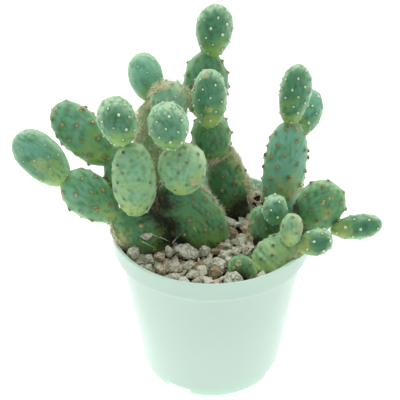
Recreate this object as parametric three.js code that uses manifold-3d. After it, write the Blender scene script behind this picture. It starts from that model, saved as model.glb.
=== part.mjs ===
// Potted paddle cactus: a small clustering prickly pear in a white plastic nursery pot, dressed with pumice.
// Millimetres, +Z up, and -Y is the front. The plant is laid out around the pot's own axis, then moved so that
// the origin is under the middle of its whole spread, on the surface that the pot stands on.
import * as THREE from 'three';
import { mergeVertices } from 'three/addons/utils/BufferGeometryUtils.js';
import Module from 'manifold-3d';

const wasm = await Module();
wasm.setup();

// ---------------------------------------------------------------- driving dimensions

const GAP = 0.3; // clearance left between two pieces that touch
const MERGE_DISTANCE = 1e-4; // corners nearer than this are one

const POT = {
  height: 75,
  lipRadius: 45, // outside, at the top edge
  bandRadius: 44.4, // outside, at the lower edge of the rim band
  bandHeight: 9,
  bodyTopRadius: 41.6, // outside, just under the rim band
  baseRadius: 32.7,
  wall: 1.1,
  lip: 1.5, // width of the thicker top edge
  stepHeight: 1.4, // height of the shoulder that joins body and band
  footHeight: 3.4, // how far the floor is raised over the table
  footWall: 1.6,
  floor: 1.4,
  edge: 0.5, // how far its edges are rounded off
};
const ROUND_MESH = { pot: 48, gravel: 32, hole: 20 }; // sides of the round shapes
const DRAIN = { radius: 3.6, ring: 23, count: 4, middleRadius: 4.2 };
const NOTCH = { width: 12, height: 2.8, count: 4, firstAngle: -118 }; // water outlets cut in the foot ring

const POT_OFFSET = 5.5; // from the middle of the plant's spread to the pot's axis

const SOIL_TOP = 62;
const GRAVEL_TOP = 69.6;
const GRAVEL_WAVE = { height: 0.7, acrossX: 0.45, acrossY: 0.5 }; // of its surface, in mm and radians per mm
const GRAVEL_RINGS = [34, 26, 18, 10]; // radii at which its surface has corners
const ROOT_DEPTH = SOIL_TOP + 1; // the lowest point of a pad that stands in the gravel

const FRONT = new THREE.Vector3(0, -0.84, 0.54); // the pads turn their broad faces this way

// The pads that grow from the gravel, and those that grow from them. A pad is given by the two ends of its
// long axis, its width and its thickness. Taper is how much narrower its base is than its tip (0 on an even
// oval), full is 1 on a plain oval and less on a pad with blunter ends, and turn is how far it is turned about
// its long axis from FRONT, in degrees. A pad is listed after the pad that it grows from.
const PADS = {
  // the clump on the left, which leans out over the rim
  left_root_pad: oval([-19, -10, 71], [-42, -11, 87], 21.5, 14.5, { taper: 0.08 }),
  left_arm_pad: oval([-41.2, -11, 85.2], [-62.6, -7.5, 104.6], 19.4, 14, { taper: 0.14, turn: 6 }),
  left_arm_tip_pad: oval([-62, -9, 102], [-81, -5, 123.2], 18.2, 13.5, { taper: 0.08, full: 0.9, turn: -8 }),
  left_pale_pad: oval([-31.6, -14.5, 89.2], [-33.3, -13, 123], 18.6, 14.5, { taper: 0.02, full: 0.78 }),
  left_young_pad: oval([-35.7, -12, 122.4], [-40.5, -13, 143.6], 15.8, 15, { taper: 0.08, full: 0.9 }),
  left_back_pad: oval([-35, -5.5, 86], [-41, 5, 113], 17, 12.5, { taper: 0.1 }),
  left_back_tip_pad: oval([-43.6, 2, 105.4], [-67, 9, 129.5], 18.4, 13.5, { taper: 0.06, full: 0.88 }),
  // the clump in the middle, with the tallest stack of pads
  middle_root_pad: oval([3.5, -6, ROOT_DEPTH], [-19.8, -3, 99.5], 24, 15, { taper: -0.06, full: 0.9 }),
  middle_pale_pad: oval([-12.5, -8, 96.5], [-12, -10, 121], 21, 18, { taper: 0.12 }),
  middle_young_pad: oval([-16.5, -9.5, 119], [-18.5, -13, 141], 16.5, 15.5, { taper: 0.1 }),
  back_root_pad: oval([-25, 2, ROOT_DEPTH], [-29, 12, 90], 19, 13.5, { taper: 0.08, turn: 10 }),
  corky_stem_pad: oval([-26.5, 12.5, 87.5], [-28, 23, 125], 14, 12.5, { taper: 0.02 }),
  corky_top_pad: oval([-22.5, 17, 117.5], [-15, 17, 136.2], 17, 13, { taper: 0.1 }),
  back_young_pad: oval([-26.2, 24.5, 123.6], [-31.3, 27, 145.8], 15.3, 13.5, { taper: 0.12 }),
  stack_root_pad: oval([12.3, 14.5, ROOT_DEPTH], [3, 22.5, 102.5], 18.8, 15, { full: 0.8 }),
  stack_second_pad: oval([1, 21, 95.5], [-1, 19, 120], 18, 16, { taper: 0.08, full: 0.9 }),
  stack_third_pad: oval([-3.5, 25.5, 114], [-2, 30, 145], 20, 14, { taper: 0.1 }),
  stack_top_pad: oval([0, 29.5, 143], [2, 29, 167], 16, 13.5, { taper: 0.1 }),
  stack_front_pad: oval([-1, 15.5, 116], [-1, 10.5, 145], 15, 12.5, { taper: 0.06, full: 0.86 }),
  // the clump on the right
  right_root_pad: oval([30.3, 14, 65], [36, 26, 113], 19.5, 14.5, { taper: 0.14, full: 0.8 }),
  right_top_pad: oval([35, 26, 111.5], [38, 22.5, 142], 14, 11.5, { taper: 0.12, full: 0.9 }),
  right_side_pad: oval([39.5, 28, 104], [46, 41, 122], 15.5, 11.5, { taper: 0.12 }),
  round_root_pad: oval([38.4, -3, 67.5], [52.2, -8, 100.8], 21.8, 14, { taper: 0.34 }),
  right_arm_tip_pad: oval([51.5, -12, 79.5], [73, -16, 86], 11, 9.5, { taper: 0.1 }),
  low_root_pad: oval([26.4, -9, 64.5], [21.6, -1, 85], 14.2, 12, { taper: 0.04, full: 0.85 }),
  low_new_pad: oval([28, -7, 80.3], [26.9, -10.5, 96.2], 10.8, 10, { taper: 0.04, full: 0.9 }),
  front_root_pad: oval([17.5, -25.5, 65], [38.6, -18.2, 79.2], 19.3, 13, { taper: 0.02, full: 0.82 }),
  half_buried_pad: oval([17.5, -30.5, 65], [9, -26.5, 75.5], 11.5, 9.5, { taper: 0.02 }),
  front_side_pad: oval([33, -22.5, 79.2], [34, -23.2, 95], 9.6, 8.5, { taper: 0.06, full: 0.82 }),
  front_tip_pad: oval([36.8, -23, 78.7], [50.8, -26, 85.4], 11.3, 10, { taper: 0.1, full: 0.92 }),
  // a dead pad, dried to its woody net
  dried_pad: oval([22, 14, 68], [21, 19, 81], 8.5, 5, { taper: 0.05, turn: 20 }),
};
const LARGE_PAD = { length: 24, width: 16 }; // a pad over either of these gets the finer mesh
const FINE_MESH = { rings: 9, segments: 14 };
const COARSE_MESH = { rings: 7, segments: 12 };

// The larger stones on the gravel: centre, size (length, depth, height), heading of the length, and colour.
const STONES = [
  { at: [-33.6, -21.1, 74.3], size: [5.2, 4.8, 8.4], heading: 12, tone: 'grey' },
  { at: [-26.9, -23.1, 71.8], size: [4.2, 4.6, 5.2], heading: 0, tone: 'grey' },
  { at: [-22.6, -21.2, 72], size: [5.6, 5.2, 5.4], heading: 15, tone: 'beige' },
  { at: [-18.5, -19.2, 73], size: [4, 4.6, 7.4], heading: 0, tone: 'grey' },
  { at: [-11, -19.1, 73.2], size: [11.8, 6.6, 6.8], heading: -24, tone: 'grey' },
  { at: [-3.3, -18.3, 72.6], size: [5, 4.6, 5.4], heading: 10, tone: 'grey' },
  { at: [2, -26, 72.4], size: [13.6, 6, 5.2], heading: -40, tone: 'grey' },
  { at: [5.9, -18.9, 71.6], size: [7.4, 4.2, 4], heading: -48, tone: 'grey' },
  { at: [6.9, -12.4, 71.6], size: [5.6, 4.2, 4], heading: -10, tone: 'grey' },
  { at: [10.4, -17, 71.8], size: [4.4, 4.4, 4.4], heading: 0, tone: 'grey' },
  { at: [11.6, -10.4, 72.2], size: [2.6, 3, 4.8], heading: 0, tone: 'grey' },
  { at: [14.7, -16.2, 72], size: [4.6, 4.6, 5.2], heading: 15, tone: 'grey' },
  { at: [-26.3, -29, 71.6], size: [5, 3.6, 3.4], heading: -34, tone: 'grey' },
  { at: [-21.6, -29.9, 71.6], size: [6.6, 4.6, 4.2], heading: -24, tone: 'beige' },
  { at: [-15.4, -28.8, 72.2], size: [5.2, 5, 6.2], heading: 10, tone: 'grey' },
  { at: [-15.4, -35, 71.8], size: [5.2, 4, 3.6], heading: -12, tone: 'grey' },
  { at: [-9.7, -27.6, 71.8], size: [5.8, 4.8, 4.6], heading: 0, tone: 'grey' },
  { at: [-8.5, -33.9, 71.8], size: [7, 5, 4.8], heading: 10, tone: 'grey' },
  { at: [-4.5, -25.3, 71], size: [4.6, 4.2, 3.8], heading: 0, tone: 'brown' },
  { at: [1.3, -31, 71.4], size: [6.8, 5.2, 4.8], heading: -34, tone: 'brown' },
  { at: [-4.9, -38.1, 71.8], size: [5.8, 4, 3.8], heading: 0, tone: 'beige' },
  { at: [8.8, -37.2, 72.6], size: [9.4, 5.6, 5.6], heading: 12, tone: 'grey' },
  { at: [9.9, -3.7, 72.2], size: [4.6, 4.6, 5.4], heading: 0, tone: 'brown' },
  { at: [17.2, 36.8, 73.2], size: [5, 4.4, 4.8], heading: 0, tone: 'orange' },
  { at: [21.8, 34.6, 72.4], size: [4.6, 4, 4.4], heading: 15, tone: 'grey' },
  { at: [-28.2, -17.9, 80.6], size: [5.4, 3.4, 4.4], heading: 0, tone: 'grey' }, // lies on the left root pad
];
const STONE_ROUGHNESS = 0.13; // how far a stone's corners are pulled in and out, as a share of its size

// ---------------------------------------------------------------- materials

const paint = (color, roughness = 0.7) => new THREE.MeshStandardMaterial({ color, roughness, metalness: 0 });
const MATERIALS = {
  pot: paint('#e6f0ea', 0.35),
  soil: paint('#2f241b', 0.95),
  gravel: paint('#a9a293', 0.95),
  green: paint('#4f8a68', 0.55),
  pale: paint('#8fae7c', 0.6),
  dried: paint('#b39a78', 0.9),
  grey: paint('#cfcabd', 0.95),
  beige: paint('#c9bb9c', 0.95),
  brown: paint('#8a7053', 0.95),
  orange: paint('#b9792f', 0.95),
};
const PALE_PADS = ['left_pale_pad', 'middle_pale_pad', 'corky_stem_pad', 'front_root_pad'];

// ---------------------------------------------------------------- helpers

/** A closed three.js geometry as a solid: shared corners are merged and slivers with no area are dropped. */
function solidOf(geometry) {
  const bare = geometry.clone();
  bare.deleteAttribute('normal');
  bare.deleteAttribute('uv');
  const merged = mergeVertices(bare, MERGE_DISTANCE);
  const corners = merged.index.array;
  const triangles = [];
  for (let i = 0; i < corners.length; i += 3) {
    const [a, b, c] = corners.subarray(i, i + 3);
    if (a !== b && b !== c && c !== a) triangles.push(a, b, c);
  }
  const vertProperties = new Float32Array(merged.attributes.position.array);
  const triVerts = new Uint32Array(triangles);
  return new wasm.Manifold(new wasm.Mesh({ numProp: 3, vertProperties, triVerts }));
}

function meshOf(name, solid, material) {
  const { vertProperties, triVerts } = solid.getMesh();
  const geometry = new THREE.BufferGeometry();
  geometry.setAttribute('position', new THREE.BufferAttribute(vertProperties, 3));
  geometry.setIndex(new THREE.BufferAttribute(triVerts, 1));
  geometry.computeVertexNormals();
  const mesh = new THREE.Mesh(geometry, material.clone());
  mesh.name = name;
  return mesh;
}

/** A solid of revolution about Z, from [radius, height] pairs listed from the axis, round the outside and back. */
function turned(profile, segments) {
  const points = profile.map(([radius, height]) => new THREE.Vector2(radius, height));
  return new THREE.LatheGeometry(points, segments).rotateX(Math.PI / 2);
}

/** A repeatable source of numbers from -1 to 1. */
function dice(seed) {
  let state = seed * 2654435761;
  return () => {
    state = Math.imul(state ^ (state >>> 15), 2246822519) + 374761393;
    return (((state ^ (state >>> 13)) >>> 0) / 4294967295) * 2 - 1;
  };
}

function cutByNeighbours(solid, neighbours) {
  return neighbours.reduce((left, neighbour) => left.subtract(neighbour), solid);
}

// ---------------------------------------------------------------- pot, soil and gravel

/** Outside radius of the tapered body at a height. */
const bodyRadius = (z) => {
  const shoulder = POT.height - POT.bandHeight - POT.stepHeight;
  return THREE.MathUtils.lerp(POT.baseRadius, POT.bodyTopRadius, z / shoulder);
};

/** The pot's whole wall and floor. Swell grows the inside and the rim, for cutting what leans on them. */
function potProfile(swell = 0) {
  const band = POT.height - POT.bandHeight;
  const shoulder = band - POT.stepHeight;
  const inner = POT.wall + swell;
  const floorTop = POT.footHeight + POT.floor + swell;
  return [
    [0, POT.footHeight],
    [POT.baseRadius - POT.footWall, POT.footHeight],
    [POT.baseRadius - POT.footWall, 0],
    [POT.baseRadius - POT.edge, 0],
    [POT.baseRadius, POT.edge],
    [bodyRadius(shoulder), shoulder],
    [POT.bandRadius - POT.edge, band - POT.edge],
    [POT.bandRadius, band],
    [POT.lipRadius + swell, POT.height - POT.edge],
    [POT.lipRadius + swell - POT.edge, POT.height + swell],
    [POT.lipRadius - POT.lip - swell, POT.height + swell],
    [POT.lipRadius - POT.lip - swell, POT.height - POT.edge],
    [POT.bandRadius - inner, band + POT.edge],
    [bodyRadius(shoulder) - inner, shoulder + POT.edge],
    [bodyRadius(floorTop) - inner, floorTop],
    [0, floorTop],
  ];
}

/** The space outside the pot under its rim, for cutting pads that lie on the rim, as none of them hangs down. */
function spaceUnderRim() {
  const inside = POT.bandRadius - POT.wall / 2;
  const outside = POT.lipRadius * 2;
  const top = POT.height + GAP;
  const profile = [
    [inside, 0],
    [outside, 0],
    [outside, top],
    [inside, top],
    [inside, 0],
  ];
  return solidOf(turned(profile, ROUND_MESH.pot));
}

function uprightCylinder(radius, height, x, y, z) {
  const cylinder = new THREE.CylinderGeometry(radius, radius, height, ROUND_MESH.hole);
  return cylinder.rotateX(Math.PI / 2).translate(x, y, z);
}

function makePot() {
  let pot = solidOf(turned(potProfile(), ROUND_MESH.pot));
  const floorMiddle = POT.footHeight + POT.floor / 2;
  const through = POT.floor * 3; // long enough to pass both faces of the floor
  pot = pot.subtract(solidOf(uprightCylinder(DRAIN.middleRadius, through, 0, 0, floorMiddle)));
  for (let i = 0; i < DRAIN.count; i += 1) {
    const angle = THREE.MathUtils.degToRad(NOTCH.firstAngle + (360 / DRAIN.count) * i);
    const [x, y] = [Math.cos(angle) * DRAIN.ring, Math.sin(angle) * DRAIN.ring];
    pot = pot.subtract(solidOf(uprightCylinder(DRAIN.radius, through, x, y, floorMiddle)));
  }
  for (let i = 0; i < NOTCH.count; i += 1) {
    // twice as tall as the notch, because half of the box is under the foot
    const outlet = new THREE.BoxGeometry(POT.footWall * 4, NOTCH.width, NOTCH.height * 2);
    outlet.translate(POT.baseRadius - POT.footWall / 2, 0, 0);
    outlet.rotateZ(THREE.MathUtils.degToRad(NOTCH.firstAngle + (360 / NOTCH.count) * i));
    pot = pot.subtract(solidOf(outlet));
  }
  return pot;
}

/** The soil up to the gravel. Swell raises its top, for cutting what stands on it. */
function makeSoil(swell = 0) {
  const bottom = POT.footHeight + POT.floor + GAP;
  const clear = POT.wall + GAP;
  const profile = [
    [0, bottom],
    [bodyRadius(bottom) - clear, bottom],
    [bodyRadius(SOIL_TOP) - clear, SOIL_TOP + swell],
    [0, SOIL_TOP + swell],
  ];
  return solidOf(turned(profile, ROUND_MESH.pot));
}

/** The layer of small stones with a gently uneven top, whole, before the pads and stones are cut out of it. */
function makeGravelLayer() {
  const band = POT.height - POT.bandHeight;
  const clear = POT.wall + GAP;
  const bottom = SOIL_TOP + GAP;
  const ledge = band - POT.stepHeight;
  const profile = [
    [0, bottom],
    [bodyRadius(bottom) - clear, bottom],
    [bodyRadius(ledge) - clear, ledge + POT.edge],
    [POT.bandRadius - clear, band + 2 * POT.edge],
    [POT.bandRadius - clear, GRAVEL_TOP],
    ...GRAVEL_RINGS.map((radius) => [radius, GRAVEL_TOP]),
    [0, GRAVEL_TOP],
  ];
  const geometry = turned(profile, ROUND_MESH.gravel);
  const position = geometry.attributes.position;
  for (let i = 0; i < position.count; i += 1) {
    const [x, y, z] = [position.getX(i), position.getY(i), position.getZ(i)];
    const wave = Math.sin(x * GRAVEL_WAVE.acrossX + 1) * Math.cos(y * GRAVEL_WAVE.acrossY);
    if (z > GRAVEL_TOP - POT.edge) position.setZ(i, z + GRAVEL_WAVE.height * wave);
  }
  return solidOf(geometry);
}

// ---------------------------------------------------------------- pads

/** One row of the table of pads. */
function oval(base, tip, width, thick, { taper = 0, full = 1, turn = 0 }) {
  return { base, tip, width, thick, taper, full, turn };
}

/** A flattened egg between two points. Swell grows it on every side, for cutting what touches it. */
function makePad({ base, tip, width, thick, taper, full, turn }, swell = 0) {
  const from = new THREE.Vector3(...base);
  const along = new THREE.Vector3(...tip).sub(from);
  const length = along.length();
  along.normalize();
  const large = length > LARGE_PAD.length || width > LARGE_PAD.width;
  const { rings, segments } = large ? FINE_MESH : COARSE_MESH;

  const widest = 1 + taper * taper; // keeps the stated width true for a tapered egg
  const profile = [];
  for (let i = 0; i <= rings; i += 1) {
    const angle = (Math.PI * i) / rings;
    const radius = (Math.sin(angle) ** full * (1 - taper * Math.cos(angle))) / widest;
    const pole = i === 0 || i === rings;
    profile.push(new THREE.Vector2(pole ? 0 : radius, (1 - Math.cos(angle)) / 2));
  }
  const egg = new THREE.LatheGeometry(profile, segments);
  egg.scale(width / 2 + swell, length + 2 * swell, thick / 2 + swell).translate(0, -swell, 0);

  const face = FRONT.clone().addScaledVector(along, -FRONT.dot(along)).normalize();
  face.applyAxisAngle(along, THREE.MathUtils.degToRad(turn));
  const across = new THREE.Vector3().crossVectors(along, face);
  egg.applyMatrix4(new THREE.Matrix4().makeBasis(across, along, face).setPosition(from));
  return solidOf(egg);
}

// ---------------------------------------------------------------- stones

/** A broken lump: a faceted ball whose corners are pulled in and out, then stretched to size. */
function makeStone({ at, size, heading }, seed, swell = 0) {
  const ball = new THREE.IcosahedronGeometry(1, 1);
  ball.deleteAttribute('normal').deleteAttribute('uv');
  const lump = mergeVertices(ball, MERGE_DISTANCE);
  const position = lump.attributes.position;
  const roll = dice(seed);
  for (let i = 0; i < position.count; i += 1) {
    const reach = 1 + STONE_ROUGHNESS * roll();
    position.setXYZ(i, position.getX(i) * reach, position.getY(i) * reach, position.getZ(i) * reach);
  }
  lump.scale(size[0] / 2 + swell, size[1] / 2 + swell, size[2] / 2 + swell);
  lump.rotateZ(THREE.MathUtils.degToRad(heading)).translate(...at);
  return solidOf(lump);
}

// ---------------------------------------------------------------- assembly

const plant = new THREE.Group();
plant.position.x = POT_OFFSET;
plant.add(meshOf('pot', makePot(), MATERIALS.pot));
plant.add(meshOf('soil', makeSoil(), MATERIALS.soil));

const roundGravel = [solidOf(turned(potProfile(GAP), ROUND_MESH.pot)), makeSoil(GAP), spaceUnderRim()];
const taken = [...roundGravel]; // what later pieces are cut by: each finished piece, grown by the gap

for (const [name, pad] of Object.entries(PADS)) {
  const living = PALE_PADS.includes(name) ? 'pale' : 'green';
  const colour = name === 'dried_pad' ? 'dried' : living;
  plant.add(meshOf(name, cutByNeighbours(makePad(pad), taken), MATERIALS[colour]));
  taken.push(makePad(pad, GAP));
}

STONES.forEach((stone, index) => {
  const seed = index + 1;
  const name = `stone_${stone.tone}_${String(seed).padStart(2, '0')}`;
  plant.add(meshOf(name, cutByNeighbours(makeStone(stone, seed), taken), MATERIALS[stone.tone]));
  taken.push(makeStone(stone, seed, GAP));
});

const onGravel = taken.slice(roundGravel.length);
plant.add(meshOf('pumice_gravel', cutByNeighbours(makeGravelLayer(), onGravel), MATERIALS.gravel));

export default plant;
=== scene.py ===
"""Looks of the potted paddle cactus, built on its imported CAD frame. Metres, +Z up, -Y is the front."""
import math
import random

import bmesh
import bpy
import numpy as np
from mathutils import Matrix, Vector


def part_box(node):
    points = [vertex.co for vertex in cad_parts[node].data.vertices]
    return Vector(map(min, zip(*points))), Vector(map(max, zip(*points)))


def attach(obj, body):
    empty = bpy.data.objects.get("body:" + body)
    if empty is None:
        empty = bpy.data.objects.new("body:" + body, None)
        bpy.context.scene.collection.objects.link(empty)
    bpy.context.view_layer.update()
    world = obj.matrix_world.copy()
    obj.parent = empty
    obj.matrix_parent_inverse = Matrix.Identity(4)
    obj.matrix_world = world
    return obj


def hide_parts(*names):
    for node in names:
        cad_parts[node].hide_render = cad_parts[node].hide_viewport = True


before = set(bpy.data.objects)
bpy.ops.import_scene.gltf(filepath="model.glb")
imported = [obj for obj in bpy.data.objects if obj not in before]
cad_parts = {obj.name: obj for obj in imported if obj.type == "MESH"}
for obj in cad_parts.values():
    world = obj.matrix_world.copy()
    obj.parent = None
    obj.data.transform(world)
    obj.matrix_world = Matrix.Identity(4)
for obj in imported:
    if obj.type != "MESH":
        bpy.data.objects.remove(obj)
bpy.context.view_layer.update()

# ------------------------------------------------------------------ driving values

MM = 0.001
GOLDEN_TURN = math.radians(137.5)  # between one areole and the next, as on most cacti
ANY_TURN = 6.3  # radians, a little over a full turn
FRONT = Vector((0, -0.84, 0.54))  # the pads turn their broad faces this way

pot_low, pot_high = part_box("pot")
POT_AXIS = Vector(((pot_low.x + pot_high.x) / 2, (pot_low.y + pot_high.y) / 2, 0))
POT_HEIGHT = pot_high.z
RIM_RADIUS = (pot_high.x - pot_low.x) / 2
ABOVE_RIM = POT_HEIGHT + 0.1 * MM  # where a pad that reaches over the pot rests on it
GRAVEL_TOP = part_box("pumice_gravel")[1].z - 0.7 * MM  # the mean of its uneven top

# The pot, in millimetres, as in the CAD source.
POT = dict(
    band_radius=44.4, band_height=9, body_top_radius=41.6, base_radius=32.7, wall=1.1, lip=1.5,
    step_height=1.4, foot_height=3.4, foot_wall=1.6, floor=1.4,
)
DRAIN = dict(radius=3.6, ring=23, middle_radius=4.2)
NOTCH = dict(width=12, height=2.8, count=4, first_angle=-118)
POT_BAND = POT_HEIGHT / MM - POT["band_height"]
POT_SHOULDER = POT_BAND - POT["step_height"]


def pot_radius(height):
    """Outside radius of the pot's tapered body, in millimetres, at a height in millimetres."""
    share = height / POT_SHOULDER
    return POT["base_radius"] + share * (POT["body_top_radius"] - POT["base_radius"])


# The camera, from the pot's rim, band and base in the photo.
CAMERA_PLACE = Vector((0, -335, 303)) * MM + POT_AXIS
CAMERA_DOWN = math.radians(32.75)
CAMERA_LEFT = math.radians(0.87)
CAMERA_ROLL = math.radians(-0.33)
LENS = 81  # on a sensor 36 mm wide

# The next lists are in millimetres from the pot's axis.
# Where no stones lie on the soil, because old pads and their rubbish cover it; the bare dark soil there also
# stands for the deep shade under them: x, y and radius.
BARE_SOIL_AND_SHADE = [(-22, 2, 13), (6, 20, 7), (12, 2, 3)]
# Fallen spines and scraps of dry skin: x, y, how widely they are spread, and their number.
LITTER = [
    (-20, -4, 8, 70), (-38, -2, 6, 70), (8, 18, 6, 60), (15, 13, 4, 50),
    (12, 31, 4, 30), (24, -6, 5, 40), (16, -30, 5, 20),
]
# Long loose spines that lean on the pads, each from one end to the other.
LONG_SPINES = [
    ((-29.9, -19.5, 78.8), (-24.2, -21.5, 76.9)),
    ((-22.2, -17.6, 79.9), (-17.8, -19.6, 78.7)),
    ((-17, -19.2, 77.6), (-13.2, -15.8, 80.7)),
    ((-7.5, -14.8, 83.1), (-6.2, -15.4, 80.7)),
    ((-26.5, -18.4, 82.5), (-21.5, -18.8, 79.6)),
]

# ------------------------------------------------------------------ helpers


def linear(code):
    """A colour from its sRGB hex code."""
    parts = [int(code[i : i + 2], 16) / 255 for i in (1, 3, 5)]
    return (*[c / 12.92 if c <= 0.04045 else ((c + 0.055) / 1.055) ** 2.4 for c in parts], 1)


def add_node(tree, kind, inputs=None, **settings):
    """A shader node. Inputs are values, or other nodes' outputs to link."""
    node = tree.nodes.new("ShaderNode" + kind)
    for name, value in settings.items():
        setattr(node, name, value)
    for name, value in (inputs or {}).items():
        if isinstance(value, bpy.types.NodeSocket):
            tree.links.new(value, node.inputs[name])
        else:
            node.inputs[name].default_value = value
    return node


COLOUR_A, COLOUR_B, COLOUR_OUT = 6, 7, 2  # the colour sockets of a Mix node
NOISE_SPAN = {"From Min": 0.35, "From Max": 0.65}  # where nearly all of a noise texture's values lie


def empty_material(name):
    """A material without nodes but for the piece's own coordinates in metres."""
    material = bpy.data.materials.new(name)
    material.use_nodes = True
    tree = material.node_tree
    tree.nodes.clear()
    place = add_node(tree, "TexCoord").outputs["Object"]
    return material, tree, place


def in_scene(name, data):
    """A new object in the scene, at the origin."""
    thing = bpy.data.objects.new(name, data)
    bpy.context.scene.collection.objects.link(thing)
    return thing


def piece_of(name, mesh, materials, smooth=True, body="root"):
    """A finished mesh as a piece of the object that rides on a CAD body."""
    mesh.name = name
    for material in materials:
        mesh.materials.append(material)
    mesh.polygons.foreach_set("use_smooth", [smooth] * len(mesh.polygons))
    piece = in_scene(name, mesh)
    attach(piece, body)
    return piece


def mesh_from(bm, name):
    mesh = bpy.data.meshes.new(name)
    bm.to_mesh(mesh)
    bm.free()
    return mesh


def merged_copy(node_name):
    """A CAD node's mesh as a bmesh with its corners joined."""
    bm = bmesh.new()
    bm.from_mesh(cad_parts[node_name].data)
    bmesh.ops.remove_doubles(bm, verts=bm.verts, dist=0.002 * MM)
    return bm


def add_copy(bm, mesh, matrix):
    """Adds a mesh to a bmesh, put in its place by the matrix, and gives its faces there."""
    verts_before, faces_before = len(bm.verts), len(bm.faces)
    bm.from_mesh(mesh)
    bm.verts.ensure_lookup_table()
    bm.faces.ensure_lookup_table()
    bmesh.ops.transform(bm, matrix=matrix, verts=bm.verts[verts_before:])
    return bm.faces[faces_before:]


def turned_solid(outline, steps):
    """A round solid about the pot's axis, from its outline as [radius, height] in metres."""
    bm = bmesh.new()
    corners = [bm.verts.new((radius, 0, height)) for radius, height in outline]
    edges = [bm.edges.new(pair) for pair in zip(corners, corners[1:])]
    bmesh.ops.spin(
        bm, geom=corners + edges, axis=(0, 0, 1), cent=(0, 0, 0), angle=2 * math.pi, steps=steps,
        use_merge=True,
    )
    bmesh.ops.remove_doubles(bm, verts=bm.verts, dist=0.01 * MM)
    bmesh.ops.recalc_face_normals(bm, faces=bm.faces)
    bmesh.ops.translate(bm, verts=bm.verts, vec=POT_AXIS)
    return bm


def apply_modifiers(piece):
    """The piece with the mesh that its modifiers make."""
    graph = bpy.context.evaluated_depsgraph_get()
    finished = bpy.data.meshes.new_from_object(piece.evaluated_get(graph), depsgraph=graph)
    piece.modifiers.clear()
    piece.data = finished
    return piece


def points_of(mesh):
    points = np.empty(len(mesh.vertices) * 3, np.float32)
    mesh.vertices.foreach_get("co", points)
    return points.reshape(-1, 3).astype(float)


def normals_of(mesh):
    normals = np.empty(len(mesh.vertices) * 3, np.float32)
    mesh.vertices.foreach_get("normal", normals)
    return normals.reshape(-1, 3).astype(float)


def set_points(mesh, points):
    mesh.vertices.foreach_set("co", points.astype(np.float32).ravel())
    mesh.update()


def paint(mesh, name, values):
    """Stores one number per vertex for the material to read."""
    layer = mesh.attributes.new(name, "FLOAT", "POINT")
    layer.data.foreach_set("value", np.asarray(values, np.float32))


def ripple(points, size, seed, waves=9):
    """Smooth unevenness from -1 to 1 with lumps about as wide as size."""
    draw = np.random.default_rng(seed)
    ways = draw.normal(size=(waves, 3))
    ways *= (draw.uniform(0.6, 1.4, waves) / np.linalg.norm(ways, axis=1))[:, None]
    phases = draw.uniform(0, 2 * math.pi, waves)
    return np.sin(points @ ways.T * (math.pi / size) + phases).sum(1) / (waves / 2)


def fade(distance, inner, outer):
    """1 inside the inner distance, 0 beyond the outer one, and smooth between them."""
    share = np.clip((outer - distance) / (outer - inner), 0, 1)
    return share * share * (3 - 2 * share)


# ------------------------------------------------------------------ materials of the plant

# What pad_skin_mesh paints on a pad for its skin to read.
PAINTED = ("lift", "rim", "streak", "wax", "halo", "age_and_shade", "cork", "sallow", "dirt_and_shade")
# The near-black dirt colour is soil and painted shade, for the crevices between pads and near the ground.
WAX, SALLOW, DRY_CORK, DIRT_AND_SHADE_COLOUR = "#7CBEA2", "#B6C470", "#D9C496", "#241D12"
# Sizes of the skin's patterns: patches, flecks, pores and flakes of cork. Real pores are far finer than
# these, which are as coarse as they need to be to show.
PATCH_SIZE, FLECK_SIZE, PORE_SIZE, FLAKE_SIZE = 7 * MM, 1.5 * MM, 0.55 * MM, 0.7 * MM


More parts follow.
